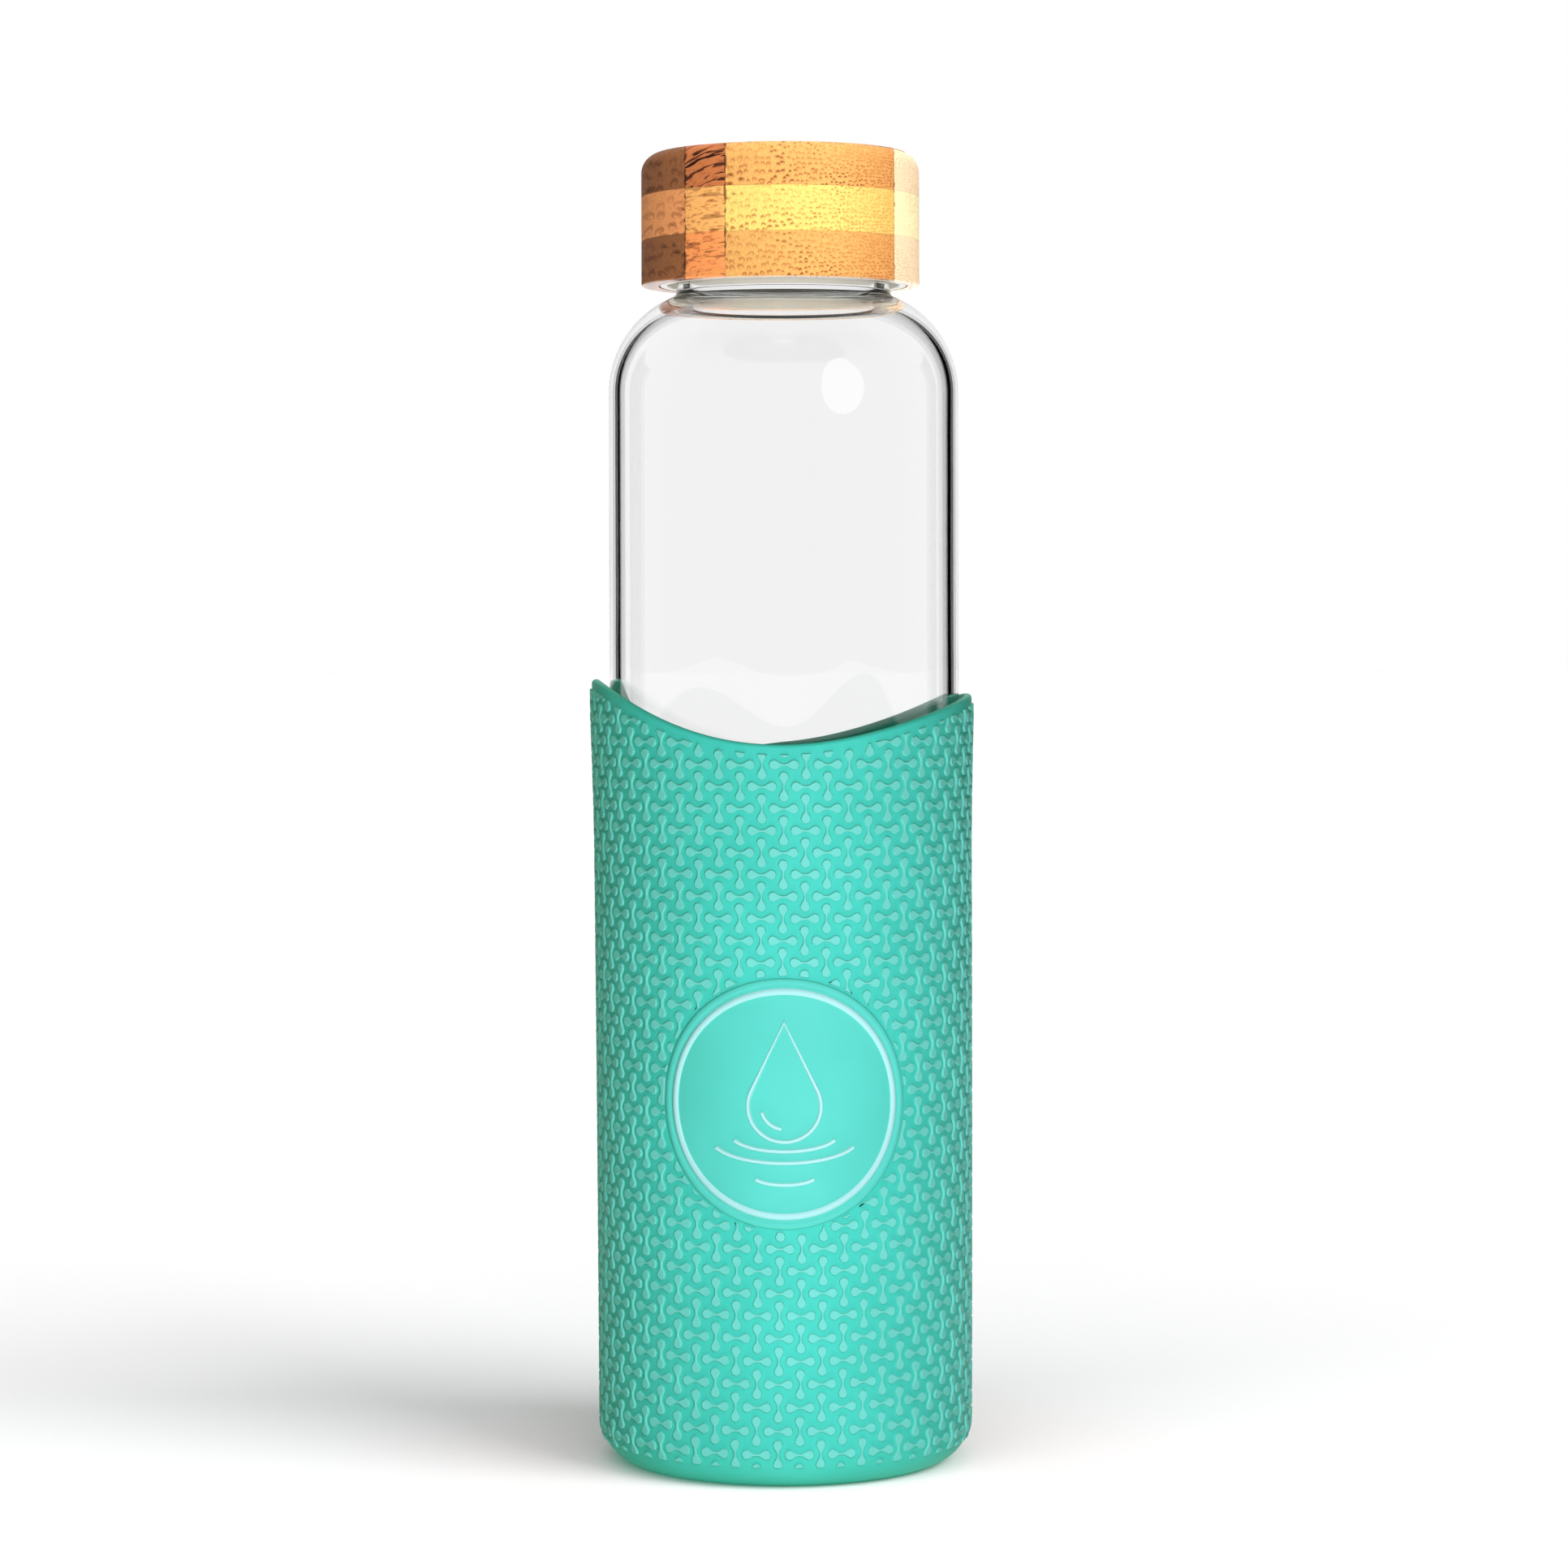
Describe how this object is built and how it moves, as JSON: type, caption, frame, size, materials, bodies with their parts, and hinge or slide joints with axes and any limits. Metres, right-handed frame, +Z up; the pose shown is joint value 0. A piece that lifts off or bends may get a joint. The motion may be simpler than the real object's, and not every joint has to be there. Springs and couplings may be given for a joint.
{
  "type": "glass water bottle",
  "caption": "Glass water bottle with a screw neck, a textured silicone sleeve with a scooped rim, and a laminated bamboo screw lid.",
  "frame": {"origin": "centre of the ring on which the sleeve stands, on the resting surface", "axes": "+Z up along the bottle's axis, -Y towards the badge on the sleeve, +X to the right seen from the badge"},
  "size_m": [0.071, 0.071, 0.244],
  "materials": {
    "glass": "clear, polished",
    "silicone": "soft matt turquoise, moulded relief",
    "bamboo_dark": "satin, carbonised",
    "bamboo_light": "satin, natural",
    "liner": "satin",
    "seal": "soft matt, translucent white"
  },
  "bodies": {
    "sleeve": {"silicone_sleeve": "silicone"},
    "glass": {"glass_bottle": "glass"},
    "seal": {"lid_seal": "seal"},
    "lid": {"threaded_liner": "liner", "bottom_ply_left_end": "bamboo_dark", "bottom_ply_streaked_front": "bamboo_dark", "bottom_ply_streaked_back": "bamboo_dark", "bottom_ply_main_front": "bamboo_dark", "bottom_ply_main_back": "bamboo_dark", "bottom_ply_right_end": "bamboo_dark", "middle_ply_left_end": "bamboo_light", "middle_ply_streaked_front": "bamboo_light", "middle_ply_streaked_back": "bamboo_light", "middle_ply_main_front": "bamboo_light", "middle_ply_main_back": "bamboo_light", "middle_ply_right_end": "bamboo_light", "top_ply_left_end": "bamboo_dark", "top_ply_streaked": "bamboo_dark", "top_ply_main": "bamboo_dark", "top_ply_right_end": "bamboo_dark"}
  },
  "joints": [
    {"name": "bottle_lift_out", "type": "slide", "parent": "sleeve", "child": "glass", "axis": [0, 0, 1], "range_m": [0, 0.15]},
    {"name": "lid_rise", "type": "slide", "parent": "glass", "child": "seal", "axis": [0, 0, 1], "range_m": [0, 0.021]},
    {"name": "lid_turn", "type": "hinge", "parent": "seal", "child": "lid", "pos_m": [0, 0, 0.2192], "axis": [0, 0, 1], "range_deg": [0, 1800]}
  ],
  "couplings": [
    {"joint": "lid_rise", "follows": "lid_turn", "m_per_rad": 0.00066845}
  ]
}
